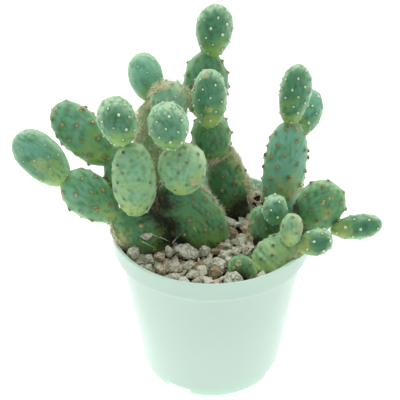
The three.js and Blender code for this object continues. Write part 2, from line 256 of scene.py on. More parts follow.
def pad_skin(name, middle, edge, low, deep, ring, bark):
    """Living cactus skin: satin green flesh with fine pores.

    A pad is darkest in the middle of its broad faces, yellower towards its base, and paler round its edge,
    where a fine down and a blue-white wax cover it. The dark middle and the paler edge are also painted shade
    and a painted rim light, and painted shade darkens older pads low down. Dead tissue on it is dry scaly cork;
    soil with painted shade darkens it in crevices.
    """
    material, tree, place = empty_material(name)
    lift, rim, streak, wax, halo, age_and_shade, cork, sallow, dirt_and_shade = (
        add_node(tree, "Attribute", attribute_name=painted).outputs["Fac"] for painted in PAINTED
    )
    cloud = add_node(tree, "TexNoise", {"Vector": place, "Scale": 1 / PATCH_SIZE, "Detail": 4}).outputs["Fac"]
    grain = add_node(tree, "TexNoise", {"Vector": place, "Scale": 1 / FLECK_SIZE, "Detail": 5}).outputs["Fac"]
    flake = add_node(tree, "TexNoise", {"Vector": place, "Scale": 1 / FLAKE_SIZE, "Detail": 3}).outputs["Fac"]
    pores = add_node(tree, "TexVoronoi", {"Vector": place, "Scale": 1 / PORE_SIZE}).outputs["Distance"]
    patch = add_node(
        tree, "MapRange", {"Value": cloud, **NOISE_SPAN, "To Min": -0.3, "To Max": 0.3}
    ).outputs["Result"]
    fleck = add_node(
        tree, "MapRange", {"Value": grain, **NOISE_SPAN, "To Min": -0.5, "To Max": 0.5}
    ).outputs["Result"]
    flake = add_node(tree, "MapRange", {"Value": flake, **NOISE_SPAN}).outputs["Result"]

    # Green flesh, yellower towards the base.
    height = add_node(tree, "Math", {0: patch, 1: 0.5, 2: lift}, operation="MULTIPLY_ADD").outputs[0]
    ripe = add_node(
        tree, "MapRange", {"Value": height, "From Min": -0.05, "From Max": 0.6}, interpolation_type="SMOOTHSTEP"
    ).outputs["Result"]
    colour = add_node(
        tree, "Mix", {0: ripe, COLOUR_A: linear(low), COLOUR_B: linear(middle)}, data_type="RGBA"
    ).outputs[COLOUR_OUT]

    # Darker worn streaks and patches, more of them with age, and painted shade on older pads, low down and
    # in the middle of their broad faces.
    worn = add_node(tree, "Math", {0: streak, 1: 0.5, 2: patch}, operation="MULTIPLY_ADD").outputs[0]
    worn = add_node(tree, "Math", {0: fleck, 1: 0.7, 2: worn}, operation="MULTIPLY_ADD").outputs[0]
    worn = add_node(
        tree, "MapRange", {"Value": worn, "From Min": -0.05, "From Max": 0.5, "To Max": 0.6}
    ).outputs["Result"]
    worn = add_node(tree, "Math", {0: worn, 1: age_and_shade}, operation="ADD", use_clamp=True).outputs[0]

    # Blue-white wax, rubbed off in the streaks.
    bloom = add_node(tree, "Math", {0: streak, 1: -0.7, 2: wax}, operation="MULTIPLY_ADD").outputs[0]
    bloom = add_node(
        tree, "Math", {0: patch, 1: 1.8, 2: bloom}, operation="MULTIPLY_ADD", use_clamp=True
    ).outputs[0]
    bloom = add_node(tree, "Math", {0: bloom, 1: wax}, operation="MULTIPLY", use_clamp=True).outputs[0]

    # Fine down round the edge, which is also a painted rim light, and pale specks where the pores are.
    down = add_node(tree, "Math", {0: streak, 1: -0.9, 2: 1}, operation="MULTIPLY_ADD").outputs[0]
    down = add_node(tree, "Math", {0: fleck, 1: 1.1, 2: down}, operation="MULTIPLY_ADD").outputs[0]
    down = add_node(tree, "Math", {0: rim, 1: down}, operation="MULTIPLY", use_clamp=True).outputs[0]
    speck = add_node(
        tree, "MapRange", {"Value": pores, "From Min": 0.12, "From Max": 0.3, "To Min": 0.25, "To Max": 0}
    ).outputs["Result"]

    # Sallow flesh, scaly cork over it, and soil that has been splashed on the pad, which is also painted shade
    # in the crevices between pads and near the ground.
    faded = add_node(tree, "Math", {0: fleck, 1: 0.8, 2: -0.2}, operation="MULTIPLY_ADD").outputs[0]
    faded = add_node(tree, "Math", {0: faded, 1: sallow}, operation="ADD").outputs[0]
    faded = add_node(
        tree, "MapRange", {"Value": faded, "From Min": 0.05, "From Max": 1, "To Max": 0.6}
    ).outputs["Result"]
    scaly = add_node(tree, "Math", {0: flake, 1: 1.1, 2: -1.0}, operation="MULTIPLY_ADD").outputs[0]
    scaly = add_node(tree, "Math", {0: scaly, 1: cork}, operation="ADD").outputs[0]
    scaly = add_node(
        tree, "MapRange", {"Value": scaly, "From Min": 0.2, "From Max": 0.75, "To Max": 0.9}
    ).outputs["Result"]
    scale = add_node(
        tree, "Mix", {0: flake, COLOUR_A: linear(bark), COLOUR_B: linear(DRY_CORK)}, data_type="RGBA"
    ).outputs[COLOUR_OUT]
    dirt_and_shade_cover = add_node(tree, "Math", {0: fleck, 1: 0.3, 2: dirt_and_shade}, operation="MULTIPLY_ADD").outputs[0]
    dirt_and_shade_cover = add_node(
        tree, "MapRange", {"Value": dirt_and_shade_cover, "From Min": 0.1, "From Max": 0.95, "To Max": 0.95}
    ).outputs["Result"]

    for cover, coat in (
        (worn, linear(deep)),
        (bloom, linear(WAX)),
        (down, linear(edge)),
        (speck, linear(edge)),
        (halo, linear(ring)),
        (faded, linear(SALLOW)),
        (scaly, scale),
        (dirt_and_shade_cover, linear(DIRT_AND_SHADE_COLOUR)),
    ):
        colour = add_node(
            tree, "Mix", {0: cover, COLOUR_A: colour, COLOUR_B: coat}, data_type="RGBA"
        ).outputs[COLOUR_OUT]

    dull = add_node(tree, "Math", {0: scaly, 1: dirt_and_shade}, operation="MAXIMUM").outputs[0]
    dry = add_node(tree, "MapRange", {"Value": dull, "To Min": 0.48, "To Max": 0.9}).outputs["Result"]
    rough = add_node(tree, "Math", {0: fleck, 1: 0.12, 2: dry}, operation="MULTIPLY_ADD").outputs[0]
    relief = add_node(tree, "Math", {0: grain, 1: pores}, operation="ADD").outputs[0]
    bump = add_node(tree, "Bump", {"Height": relief, "Strength": 0.4, "Distance": 0.12 * MM}).outputs["Normal"]
    skin = add_node(
        tree,
        "BsdfPrincipled",
        {
            "Base Color": colour, "Roughness": rough, "Normal": bump, "IOR": 1.42,
            "Sheen Weight": 0.4, "Sheen Roughness": 0.4, "Sheen Tint": linear("#C4E8BC"),
            "Subsurface Weight": 0.12, "Subsurface Radius": (0.4, 1.0, 0.3), "Subsurface Scale": 1.5 * MM,
        },
    )
    add_node(tree, "OutputMaterial", {"Surface": skin.outputs[0]})
    return material


def plant_hair(name, dark, pale, roughness=0.8):
    """Felt and bristles of the areoles: fine dry plant hair, half see-through, with a soft sheen."""
    material, tree, place = empty_material(name)
    tone = add_node(tree, "TexNoise", {"Vector": place, "Scale": 1 / (1.1 * MM), "Detail": 2}).outputs["Fac"]
    spread = add_node(tree, "MapRange", {"Value": tone, **NOISE_SPAN}).outputs["Result"]
    colour = add_node(
        tree, "Mix", {0: spread, COLOUR_A: linear(dark), COLOUR_B: linear(pale)}, data_type="RGBA"
    ).outputs[COLOUR_OUT]
    hair = add_node(
        tree,
        "BsdfPrincipled",
        {
            "Base Color": colour, "Roughness": roughness, "IOR": 1.5,
            "Sheen Weight": 0.3, "Sheen Roughness": 0.5,
            "Subsurface Weight": 0.6, "Subsurface Radius": (1.0, 0.8, 0.5), "Subsurface Scale": 0.4 * MM,
        },
    )
    add_node(tree, "OutputMaterial", {"Surface": hair.outputs[0]})
    return material


def dried_fibre():
    """The woody net that is left of a dead pad: bleached straw-coloured fibre, dry and matt."""
    material, tree, place = empty_material("dried_fibre")
    tone = add_node(tree, "TexNoise", {"Vector": place, "Scale": 1 / (1.5 * MM), "Detail": 4}).outputs["Fac"]
    colour = add_node(
        tree, "Mix", {0: tone, COLOUR_A: linear("#D8C49C"), COLOUR_B: linear("#FBF6E4")}, data_type="RGBA"
    ).outputs[COLOUR_OUT]
    bump = add_node(tree, "Bump", {"Height": tone, "Strength": 0.5, "Distance": 0.2 * MM}).outputs["Normal"]
    wood = add_node(
        tree, "BsdfPrincipled", {"Base Color": colour, "Roughness": 0.9, "IOR": 1.5, "Normal": bump}
    )
    add_node(tree, "OutputMaterial", {"Surface": wood.outputs[0]})
    return material


# ------------------------------------------------------------------ materials of the ground and the pot


def pumice(name, pale, deep):
    """Pumice, broken and sieved: a chalky foam of glass, rough and matt, with open cells and soil dust.

    Painted shade darkens its cells, pits and cracks, and the stones low down in the bed.
    """
    material, tree, place = empty_material(name)
    pit_shade = add_node(tree, "Attribute", attribute_name="pit_shade").outputs["Fac"]
    cloud = add_node(tree, "TexNoise", {"Vector": place, "Scale": 1 / (4 * MM), "Detail": 4}).outputs["Fac"]
    grain = add_node(tree, "TexNoise", {"Vector": place, "Scale": 1 / (0.8 * MM), "Detail": 5}).outputs["Fac"]
    cells = add_node(tree, "TexVoronoi", {"Vector": place, "Scale": 1 / (0.9 * MM)}).outputs["Distance"]
    tone = add_node(tree, "MapRange", {"Value": cloud, "From Min": 0.35, "From Max": 0.68}).outputs["Result"]
    colour = add_node(
        tree, "Mix", {0: tone, COLOUR_A: linear(deep), COLOUR_B: linear(pale)}, data_type="RGBA"
    ).outputs[COLOUR_OUT]
    freckle = add_node(
        tree, "MapRange", {"Value": grain, "From Min": 0.45, "From Max": 0.34, "To Max": 0.5}
    ).outputs["Result"]
    # Painted shade in the open cells and, from the stone's mesh, in its pits and cracks.
    cell_shade = add_node(
        tree, "MapRange", {"Value": cells, "From Min": 0.2, "From Max": 0.1, "To Max": 0.45}
    ).outputs["Result"]
    dark = add_node(tree, "Math", {0: cell_shade, 1: pit_shade}, operation="MAXIMUM").outputs[0]
    # Soil dust with painted shade: darker low down, between the stones of the bed.
    height = add_node(tree, "SeparateXYZ", {0: place}).outputs["Z"]
    clean, buried = GRAVEL_TOP - 0.3 * MM, GRAVEL_TOP - 2.4 * MM
    dust_and_shade = add_node(
        tree, "MapRange", {"Value": height, "From Min": clean, "From Max": buried, "To Max": 0.7}
    ).outputs["Result"]
    for cover, coat in ((freckle, "#77695A"), (dark, "#3A2D23"), (dust_and_shade, "#4A3A2C")):
        colour = add_node(
            tree, "Mix", {0: cover, COLOUR_A: colour, COLOUR_B: linear(coat)}, data_type="RGBA"
        ).outputs[COLOUR_OUT]
    relief = add_node(tree, "Math", {0: grain, 1: cells}, operation="ADD").outputs[0]
    bump = add_node(tree, "Bump", {"Height": relief, "Strength": 0.7, "Distance": 0.25 * MM}).outputs["Normal"]
    stone = add_node(
        tree, "BsdfPrincipled", {"Base Color": colour, "Roughness": 0.95, "IOR": 1.5, "Normal": bump}
    )
    add_node(tree, "OutputMaterial", {"Surface": stone.outputs[0]})
    return material


def potting_soil():
    """Peat and bark fines: nearly black brown crumbs with a few paler fibres."""
    material, tree, place = empty_material("potting_soil")
    crumbs = add_node(tree, "TexVoronoi", {"Vector": place, "Scale": 1 / (1.3 * MM)}).outputs["Distance"]
    grain = add_node(tree, "TexNoise", {"Vector": place, "Scale": 1 / (0.7 * MM), "Detail": 5}).outputs["Fac"]
    fibre = add_node(tree, "MapRange", {"Value": grain, "From Min": 0.55, "From Max": 0.72}).outputs["Result"]
    colour = add_node(
        tree, "Mix", {0: fibre, COLOUR_A: linear("#2B1F17"), COLOUR_B: linear("#7A5A3C")}, data_type="RGBA"
    ).outputs[COLOUR_OUT]
    bump = add_node(tree, "Bump", {"Height": crumbs, "Strength": 0.8, "Distance": 0.5 * MM}).outputs["Normal"]
    soil = add_node(
        tree, "BsdfPrincipled", {"Base Color": colour, "Roughness": 0.95, "IOR": 1.4, "Normal": bump}
    )
    add_node(tree, "OutputMaterial", {"Surface": soil.outputs[0]})
    return material


def pot_plastic():
    """Injection-moulded polypropylene, white with a breath of green: waxy, slightly see-through, satin."""
    material, tree, place = empty_material("moulded_polypropylene")
    flow = add_node(tree, "TexNoise", {"Vector": place, "Scale": 1 / (30 * MM), "Detail": 3}).outputs["Fac"]
    satin = add_node(tree, "TexNoise", {"Vector": place, "Scale": 1 / (0.5 * MM), "Detail": 2}).outputs["Fac"]
    colour = add_node(
        tree, "Mix", {0: flow, COLOUR_A: linear("#BEDACA"), COLOUR_B: linear("#C6DFD1")}, data_type="RGBA"
    ).outputs[COLOUR_OUT]
    rough = add_node(tree, "MapRange", {"Value": flow, "To Min": 0.3, "To Max": 0.42}).outputs["Result"]
    bump = add_node(tree, "Bump", {"Height": satin, "Strength": 0.06, "Distance": 0.05 * MM}).outputs["Normal"]
    plastic = add_node(
        tree,
        "BsdfPrincipled",
        {
            "Base Color": colour, "Roughness": rough, "Normal": bump, "IOR": 1.49,
            "Subsurface Weight": 0.7, "Subsurface Radius": (1.0, 1.1, 1.05), "Subsurface Scale": 3 * MM,
        },
    )
    add_node(tree, "OutputMaterial", {"Surface": plastic.outputs[0]})
    return material


# Each skin's colours: in the middle of its broad faces, round its edge (its down and a painted rim light), low
# down, where it is worn and where age paints shade on it, round an areole, and in the cracks of its cork.
SKINS = {
    "mature": pad_skin("mature_pad_skin", "#5A9862", "#A2CC98", "#94BA5C", "#26582E", "#5E6238", "#6E5430"),
    "young": pad_skin("young_pad_skin", "#478860", "#B0D8AE", "#98C05E", "#20543A", "#4A7A4C", "#8E6E3C"),
    "pale": pad_skin("pale_pad_skin", "#88B884", "#B8D8A8", "#A8C66E", "#4A8654", "#42582E", "#8E6634"),
    "corky": pad_skin("corky_pad_skin", "#96BE92", "#C2D2A8", "#B4C084", "#6E9464", "#AEA870", "#86703E"),
    # The bark skin is old dark bark, made darker still as painted shade for a pad deep in the shade of the
    # others.
    "bark": pad_skin("bark_and_painted_shade_pad_skin", "#44462E", "#666448", "#463A26", "#2A2216", "#4A3520", "#4E3A24"),
}
WOOL = plant_hair("white_wool", "#D4E2C4", "#F4F8E6")
FELT = plant_hair("tan_felt", "#766434", "#D2BE82")
DARK_FELT = plant_hair("dark_felt", "#3A301C", "#74603A")
RUST_BRISTLE = plant_hair("rust_bristle", "#443A22", "#887044", 0.6)
STRAW_BRISTLE = plant_hair("straw_bristle", "#F2E6A0", "#FDF9DC", 0.5)
SCRAP = plant_hair("dry_scraps", "#5A3A24", "#A87850", 0.9)
PUMICE = {
    "grey": pumice("pumice_grey", "#ECEEDC", "#CDCEB8"),
    "beige": pumice("pumice_beige", "#DED6BC", "#BDB092"),
    "brown": pumice("pumice_brown", "#C2B292", "#9A8464"),
    "orange": pumice("pumice_orange", "#D89A45", "#A8682A"),
}
SOIL = potting_soil()
PLASTIC = pot_plastic()

# ------------------------------------------------------------------ pads: their eggs, from the CAD nodes

# Each pad: how much narrower its base is than its tip and how full its ends are, both as in the CAD source,
# the skin that it wears, its age and its bluish wax from 0 up (its age also paints shade on it, low down and in
# the middle of its broad faces), the depth in millimetres of the folds that it has shrunk into, its marks and
# its fringes. A bare pad has flat, small areoles. A mark is sallow flesh, cork or dirt (soil together with
# painted shade): its kind, its place along the pad from 0 at the base to 1 at the tip, its turn round the pad
# from the front in degrees (positive to the right), and its radius in millimetres. A fringe is a stretch
# crowded with spiny
# areoles: their kind, from and to along the pad, from and to round it in degrees, and their number. Bark
# fringes are dark areoles that stand for painted shade in crevices.
PADS = {
    # Its right side lies in shade: its dirt marks and bark fringe there are painted shade.
    "left_root_pad": dict(
        age_and_shade=0.45, taper=0.08,
        marks=[
            ("sallow", 0.78, -70, 7), ("cork", 0.68, -80, 5.5),
            ("dirt_and_shade", 0.35, 56, 6.5), ("dirt_and_shade", 0.1, 30, 6), ("dirt_and_shade", 0.62, 66, 6),
        ],
        fringes=[("corky", 0.5, 0.97, -100, -58, 20), ("bark", 0.2, 0.9, 70, 110, 24)],
    ),
    "left_arm_pad": dict(wax=0.6, age_and_shade=0.14, taper=0.14, marks=[("sallow", 0.08, -10, 4)]),
    "left_arm_tip_pad": dict(
        wax=0.7, taper=0.08, full=0.9, skin="young", bare=True, marks=[("sallow", 0.48, -6, 4)]
    ),
    "left_pale_pad": dict(
        wax=0.45, taper=0.02, full=0.78, skin="pale",
        marks=[("cork", 0.25, 62, 2), ("cork", 0.89, -9, 0.9), ("cork", 0.81, 38, 0.9)],
    ),
    "left_young_pad": dict(wax=0.2, age_and_shade=0.12, taper=0.08, full=0.9, skin="young"),
    "left_back_pad": dict(age_and_shade=0.25, taper=0.1),
    "left_back_tip_pad": dict(
        wax=0.5, age_and_shade=0.18, taper=0.06, full=0.88, marks=[("cork", 0.97, -20, 2), ("cork", 0.77, 55, 1.6)]
    ),
    # Its left side lies in the crevice by left_root_pad: its dirt marks and bark fringe there are painted
    # shade.
    "middle_root_pad": dict(
        age_and_shade=0.3, taper=-0.06, full=0.9,
        marks=[
            ("dirt_and_shade", 0.86, -64, 7), ("dirt_and_shade", 0.62, -68, 7), ("dirt_and_shade", 0.38, -76, 6), ("dirt_and_shade", 0.14, -70, 6),
        ],
        fringes=[("corky", 0.25, 0.8, 78, 125, 30), ("bark", 0.2, 0.97, -125, -75, 60)],
    ),
    "middle_pale_pad": dict(
        wax=0.45, taper=0.12, skin="pale",
        marks=[
            ("cork", 0.42, 30, 2.6), ("cork", 0.88, 16, 1.0), ("cork", 0.76, -4, 1.1), ("sallow", 0.55, 35, 4),
        ],
    ),
    "middle_young_pad": dict(wax=0.45, taper=0.1, skin="young", marks=[("cork", 0.99, 150, 1.6)]),
    # Its bark skin and dark fringe are old bark and painted shade, for a pad deep in the shade of the others.
    "back_root_pad": dict(age_and_shade=0.5, taper=0.08, skin="bark", fringes=[("bark", 0.6, 0.99, -120, 120, 60)]),
    "corky_stem_pad": dict(
        wax=0.6, taper=0.02, skin="corky",
        marks=[("sallow", 0.5, -30, 3), ("cork", 0.66, -20, 2), ("cork", 0.4, 12, 2.4)],
        fringes=[("corky", 0.3, 0.95, -100, 60, 60)],
    ),
    "corky_top_pad": dict(
        wax=1.3, taper=0.1, skin="corky",
        marks=[("cork", 0.78, -66, 3), ("cork", 0.9, -40, 2.4)],
        fringes=[("corky", 0.2, 0.9, -100, -45, 16)],
    ),
    "back_young_pad": dict(wax=1.2, taper=0.12, skin="young", bare=True),
    "stack_root_pad": dict(
        age_and_shade=0.6, full=0.8,
        marks=[
            ("sallow", 0.84, 58, 6), ("sallow", 0.6, 64, 6), ("cork", 0.6, 80, 3), ("cork", 0.38, 74, 4),
            ("dirt_and_shade", 0.14, 0, 9), ("dirt_and_shade", 0.3, 26, 6), ("dirt_and_shade", 0.1, -70, 8), ("dirt_and_shade", 0.1, 90, 8),
        ],
        fringes=[("corky", 0.3, 0.98, 50, 110, 48)],
    ),
    "stack_second_pad": dict(
        age_and_shade=0.3, taper=0.08, full=0.9,
        marks=[("sallow", 0.07, 10, 6), ("cork", 0.03, 0, 3.5)],
        fringes=[("corky", 0.06, 0.24, -90, 90, 64)],
    ),
    "stack_third_pad": dict(wax=0.6, age_and_shade=0.1, taper=0.1),
    "stack_top_pad": dict(wax=0.05, age_and_shade=0.08, taper=0.1, skin="young"),
    "stack_front_pad": dict(
        taper=0.06, full=0.86, skin="young",
        marks=[
            ("sallow", 0.46, 2, 2.6), ("cork", 0.45, 4, 1.8), ("cork", 0.985, -30, 2.2), ("sallow", 0.26, 0, 4),
        ],
    ),
    "right_root_pad": dict(
        wax=1.4, taper=0.14, full=0.8,
        marks=[
            ("sallow", 0.44, 30, 7), ("sallow", 0.38, 4, 7), ("cork", 0.36, 34, 2.6), ("cork", 0.3, 0, 2.6),
            ("cork", 0.98, 26, 2), ("dirt_and_shade", 0.12, -40, 4),
        ],
        fringes=[("corky", 0.93, 0.99, -30, 60, 6)],
    ),
    "right_top_pad": dict(taper=0.12, full=0.9, skin="young"),
    "right_side_pad": dict(wax=0.9, taper=0.12, skin="young"),
    "round_root_pad": dict(
        wax=0.3, age_and_shade=0.05, taper=0.34,
        marks=[
            ("sallow", 0.7, 18, 4), ("cork", 0.9, 12, 1.6), ("cork", 0.92, -75, 1.6), ("dirt_and_shade", 0.45, -78, 6),
        ],
    ),
    "right_arm_tip_pad": dict(wax=0.0, taper=0.1, skin="young", marks=[("sallow", 0.2, 10, 5)]),
    "low_root_pad": dict(
        age_and_shade=0.5, taper=0.04, full=0.85,
        marks=[("dirt_and_shade", 0.3, -60, 4.5), ("cork", 0.78, -50, 1.6), ("cork", 0.5, -80, 1.8)],
        fringes=[("corky", 0.2, 0.9, -110, -60, 8)],
    ),
    "low_new_pad": dict(wax=0.5, taper=0.04, full=0.9, skin="young"),
    "front_root_pad": dict(
        wax=0.4, shrunk=0.28, taper=0.02, full=0.82, skin="pale",
        marks=[
            ("sallow", 0.5, 20, 8), ("sallow", 0.85, 8, 5),
            ("cork", 0.6, 34, 2.2), ("cork", 0.8, 34, 2.6), ("cork", 0.05, -10, 2),
        ],
    ),
    "half_buried_pad": dict(age_and_shade=0.45, taper=0.02, marks=[("dirt_and_shade", 0.35, -20, 4), ("cork", 0.8, 10, 1.3)]),
    "front_side_pad": dict(
        wax=0.3, taper=0.06, full=0.82, skin="pale",
        marks=[("cork", 0.93, 30, 1.8), ("cork", 0.7, 48, 2.6), ("sallow", 0.5, -10, 3)],
    ),
    "front_tip_pad": dict(
        wax=0.0, age_and_shade=0.25, taper=0.1, full=0.92, skin="young", marks=[("sallow", 0.25, 0, 5)]
    ),
}
# By the kind of skin, in millimetres: the distance between areoles, their width, and the swelling under one.
SPACING = {"young": 5.0, "mature": 6.3, "pale": 5.4, "corky": 3.8, "bark": 4.4}
FELT_WIDTH = {"young": 1.25, "mature": 1.75, "pale": 1.0, "corky": 1.3, "bark": 1.1}
MOUND = {"young": 0.32, "mature": 0.7, "pale": 0.5, "corky": 0.5, "bark": 0.5}
# How plainly the edge is paler, for its down and as a painted rim light.
DOWN_AND_RIM_LIGHT_SHARE = {"young": 1.0, "mature": 0.8, "pale": 0.9, "corky": 0.8, "bark": 0.4}
EDGE_SPACING = 0.65  # between areoles in the row along an edge, as a share of that elsewhere

RINGS = {14: 9, 12: 7}  # of the CAD egg, by the number of its sides


class Pad:
    """A pad's egg, read from its CAD node: where its base and tip are, and which way its broad face looks."""

    def __init__(
        self, name, taper=0.0, full=1.0, skin="mature", age_and_shade=0.0, wax=0.25, shrunk=0.0, marks=(), fringes=(),
        bare=False,
    ):
        self.name, self.taper, self.full = name, taper, full
        self.skin, self.age_and_shade, self.wax, self.shrunk, self.bare = skin, age_and_shade, wax, shrunk, bare
        self.marks, self.fringes = marks, fringes
        self.mound = MOUND[skin] * (0.4 if bare else 1)
        bm = merged_copy(name)
        tip, ring = max(
            ((v, self.fan(v)) for v in bm.verts if len(v.link_edges) in RINGS and self.is_pole(v)),
            key=lambda found: found[0].co.z,
        )
        centre = sum(ring, Vector()) / len(ring)
        self.axis = (tip.co - centre).normalized()
        rings = RINGS[len(ring)]
        self.length = (tip.co - centre).length / ((1 - math.cos(math.pi / rings)) / 2)
        self.base = tip.co - self.axis * self.length
        thinnest = min(((point - centre) for point in ring), key=lambda out: out.length)
        self.face = thinnest.normalized() if thinnest.dot(FRONT) > 0 else -thinnest.normalized()
        self.across = self.axis.cross(self.face)
        share = float(self.profile(math.pi - math.pi / rings))
        widest = max(math.sin(2 * math.pi * step / len(ring)) for step in range(len(ring)))
        self.thick = 2 * thinnest.length / share
        self.width = 2 * max(abs((point - centre).dot(self.across)) for point in ring) / widest / share
        self.middle = self.base + self.axis * self.length / 2
        bm.free()

    @staticmethod
    def fan(vertex):
        return [edge.other_vert(vertex).co.copy() for edge in vertex.link_edges]

    @classmethod
    def is_pole(cls, vertex):
        """True where the corners round a vertex lie in one plane under it, as at the end of an egg."""
        ring = cls.fan(vertex)
        centre = sum(ring, Vector()) / len(ring)
        axis = vertex.co - centre
        if axis.length < 0.1 * MM:
            return False
        axis.normalize()
        return max(abs((point - centre).dot(axis)) for point in ring) < 0.02 * MM

    def profile(self, angle):
        """The egg's radius as a share of its half width, by the angle from its base (0) to its tip (pi)."""
        return np.sin(angle) ** self.full * (1 - self.taper * np.cos(angle)) / (1 + self.taper**2)

    def surface(self, angle, turn):
        """Points of the skin, by the angle from base to tip and the turn round the axis from the front."""
        along = self.length * (1 - np.cos(angle)) / 2
        radius = self.profile(angle)
        right = radius * np.sin(turn) * self.width / 2
        out = radius * np.cos(turn) * self.thick / 2
        return (
            np.array(self.base)
            + np.outer(along, self.axis)
            + np.outer(right, self.across)
            + np.outer(out, self.face)
        )

    def spot(self, along, side):
        """The place on the surface at a share of the length and a turn in degrees."""
        return self.surface(np.array([math.acos(1 - 2 * along)]), np.array([math.radians(side)]))[0]

    def outward(self, angle, turn):
        """The surface's unit normals."""
        step = 1e-3
        along = self.surface(angle + step, turn) - self.surface(angle - step, turn)
        around = self.surface(angle, turn + step) - self.surface(angle, turn - step)
        out = np.cross(around, along)
        return out / np.linalg.norm(out, axis=1)[:, None]

    def depth(self, points):
        """How far outside the egg points lie, in metres, and less than 0 inside."""
        rel = points - np.array(self.base)
        share = np.clip(rel @ np.array(self.axis) / self.length, 1e-4, 1 - 1e-4)
        beyond = rel @ np.array(self.axis) - share * self.length
        right = rel @ np.array(self.across) / (self.width / 2)
        out = rel @ np.array(self.face) / (self.thick / 2)
        reach = np.hypot(right, out)
        limit = self.profile(np.arccos(1 - 2 * share))
        return np.hypot((reach - limit) * (self.width + self.thick) / 4, beyond) * np.where(
            (reach < limit) & (np.abs(beyond) < 1e-6), -1, 1
        )


def areole_places(pad, phase, neighbours):
    """The angles and turns of a pad's areoles, apart from where the ground, the rim or other pads cover it.

    They stand in a spiral, even over the skin, with a row along each edge.
    """
    steps = np.linspace(0, math.pi, 240)
    radius = pad.profile(steps) * (pad.width + pad.thick) / 4
    height = pad.length * (1 - np.cos(steps)) / 2
    strips = np.hypot(np.diff(radius), np.diff(height)) * (radius[1:] + radius[:-1]) * math.pi
    area = np.concatenate([[0], np.cumsum(strips)])
    count = round(area[-1] / (SPACING[pad.skin] * MM) ** 2)
    numbers = np.arange(count)
    draw = np.random.default_rng(int(phase * 10))
    angle = np.interp((numbers + draw.uniform(0.2, 0.8, count)) / count * area[-1], area, steps)
    turn = phase + numbers * GOLDEN_TURN + draw.normal(0, 0.07, count)

    between = EDGE_SPACING * SPACING[pad.skin] * MM
    reach = np.diff(pad.profile(steps) * pad.width / 2)
    outline = np.concatenate([[0], np.cumsum(np.hypot(reach, np.diff(height)))])
    row = np.interp(np.arange(between, outline[-1] - between, between), outline, steps)
    for edge in (-math.pi / 2, math.pi / 2):
        side = edge + draw.normal(0, 0.12, len(row))
        gaps = pad.surface(row, side)[:, None] - pad.surface(angle, turn)[None]
        added = np.linalg.norm(gaps, axis=2).min(1) > 0.75 * between
        angle, turn = np.append(angle, row[added]), np.append(turn, side[added])

    places = pad.surface(angle, turn)
    free = places[:, 2] > GRAVEL_TOP - 1 * MM
    free &= np.linalg.norm(on_the_rim(places.copy()) - places, axis=1) < 0.1 * MM
    for other in neighbours:
        free &= other.depth(places) > 0.35 * MM
    return angle[free], turn[free]


def ball_mesh(subdivisions):
    bm = bmesh.new()
    bmesh.ops.create_icosphere(bm, subdivisions=subdivisions, radius=1)
    return mesh_from(bm, "ball")


BALL = ball_mesh(6)
BALL_POINTS = points_of(BALL)
BALL_ANGLE = np.arccos(np.clip(-BALL_POINTS[:, 2], -1, 1))
BALL_TURN = np.arctan2(BALL_POINTS[:, 0], BALL_POINTS[:, 1])


def on_the_rim(points):
    """A pad's points, with those that would hang down outside the pot lifted onto its rim."""
    rim = (POT["band_radius"] - POT["wall"] / 2) * MM
    beyond = np.hypot(*(points[:, :2] - np.array(POT_AXIS.xy)).T) > rim
    points[beyond & (points[:, 2] < ABOVE_RIM), 2] = ABOVE_RIM
    return points


